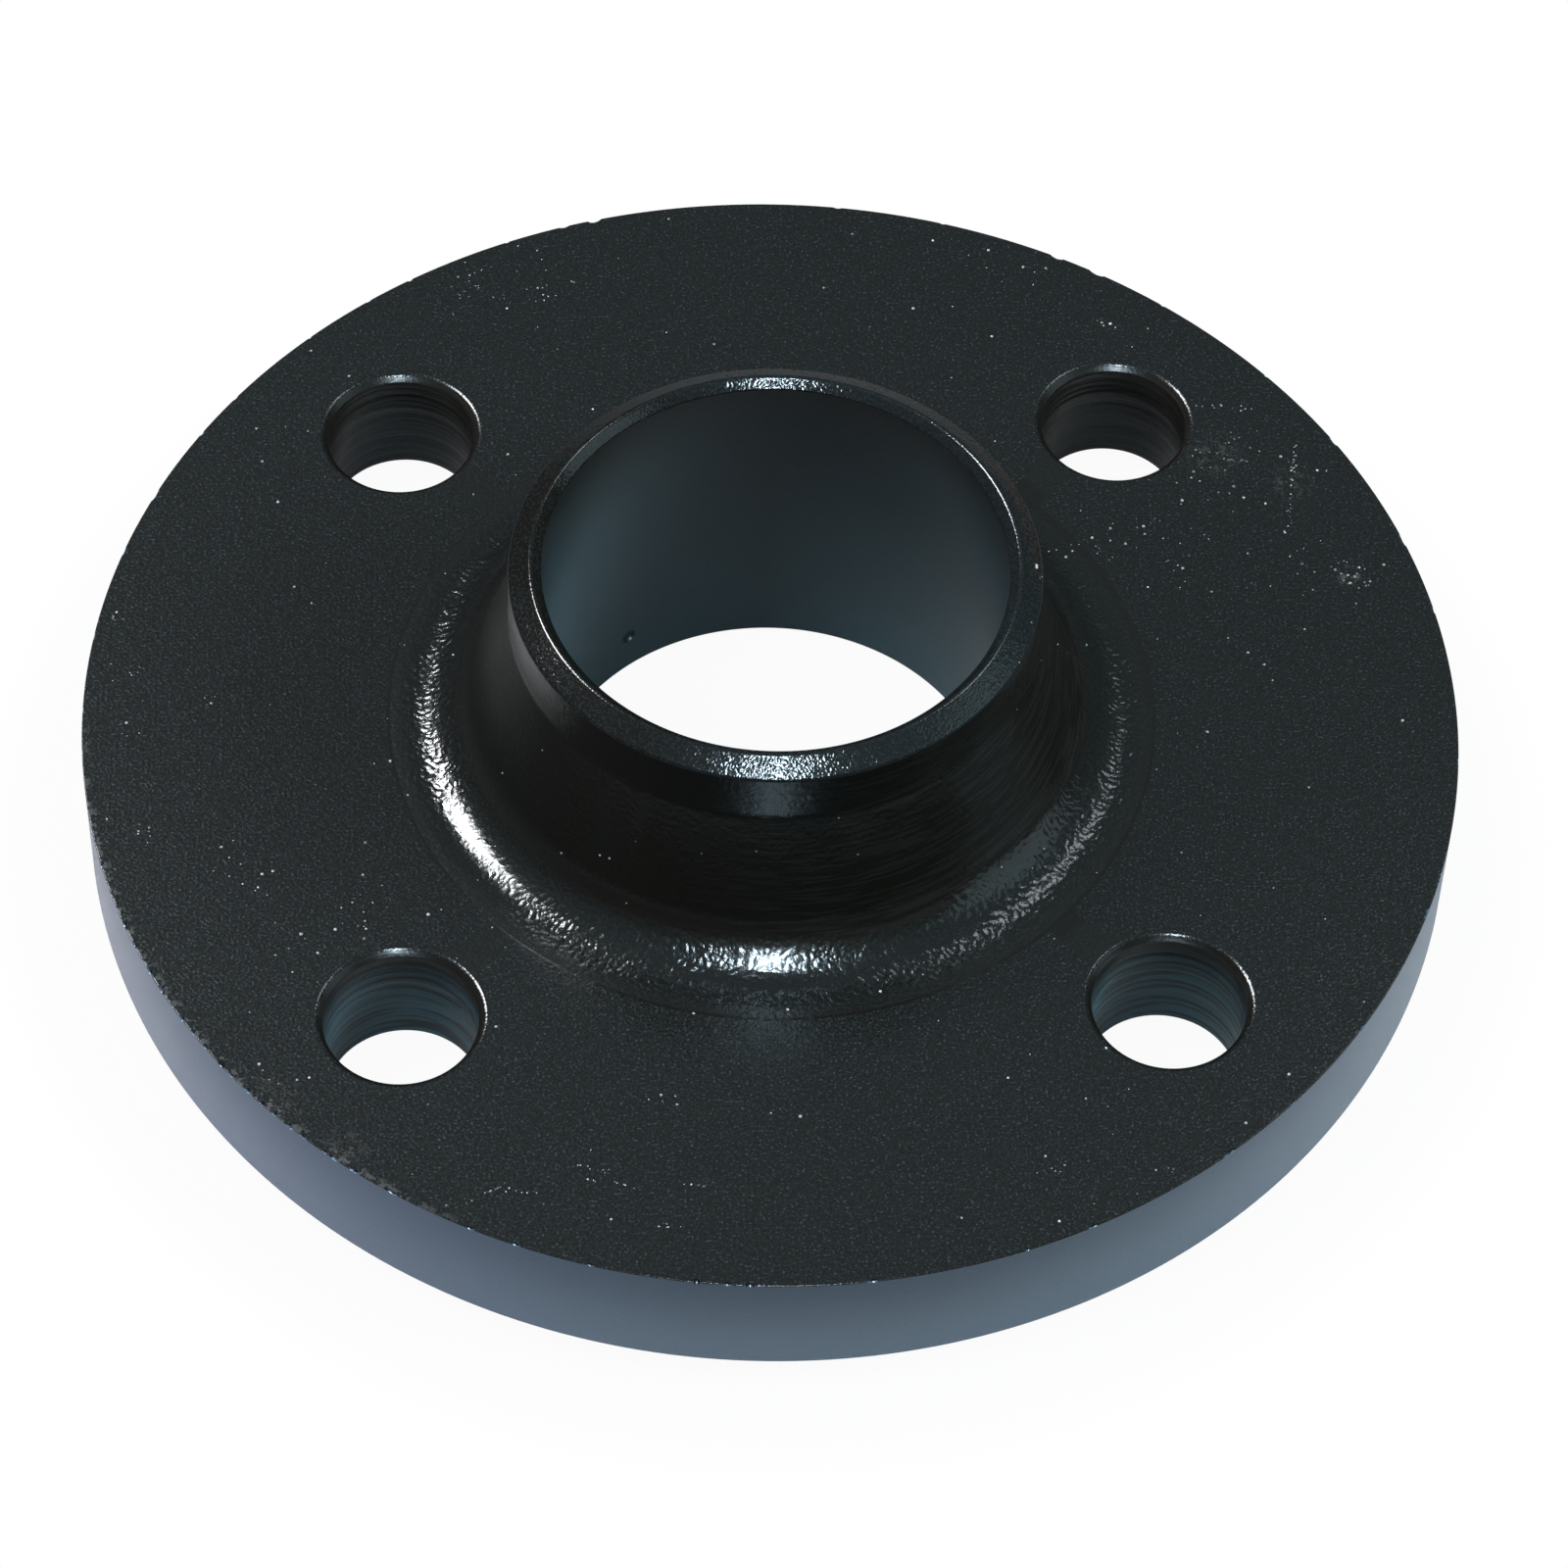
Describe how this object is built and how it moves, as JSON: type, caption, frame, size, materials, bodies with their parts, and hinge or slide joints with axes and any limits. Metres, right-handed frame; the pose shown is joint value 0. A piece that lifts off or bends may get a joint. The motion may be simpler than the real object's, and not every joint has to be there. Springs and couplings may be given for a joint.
{
  "type": "weld neck pipe flange",
  "caption": "Forged and turned weld neck pipe flange: a round drilled plate with a raised sealing face, and a tapered hub with a fillet that ends in a bevelled weld end round the bore.",
  "frame": {"origin": "centre of the raised sealing face, which the flange stands on", "axes": "+Z along the bore's axis from the sealing face to the weld end; the bolt holes straddle +X and +Y"},
  "size_m": [0.164, 0.164, 0.0461],
  "materials": {
    "black_varnish": "semi-matte black varnish over forged and turned carbon steel"
  },
  "bodies": {
    "root": {"weld_neck_flange": "black_varnish"}
  },
  "joints": []
}
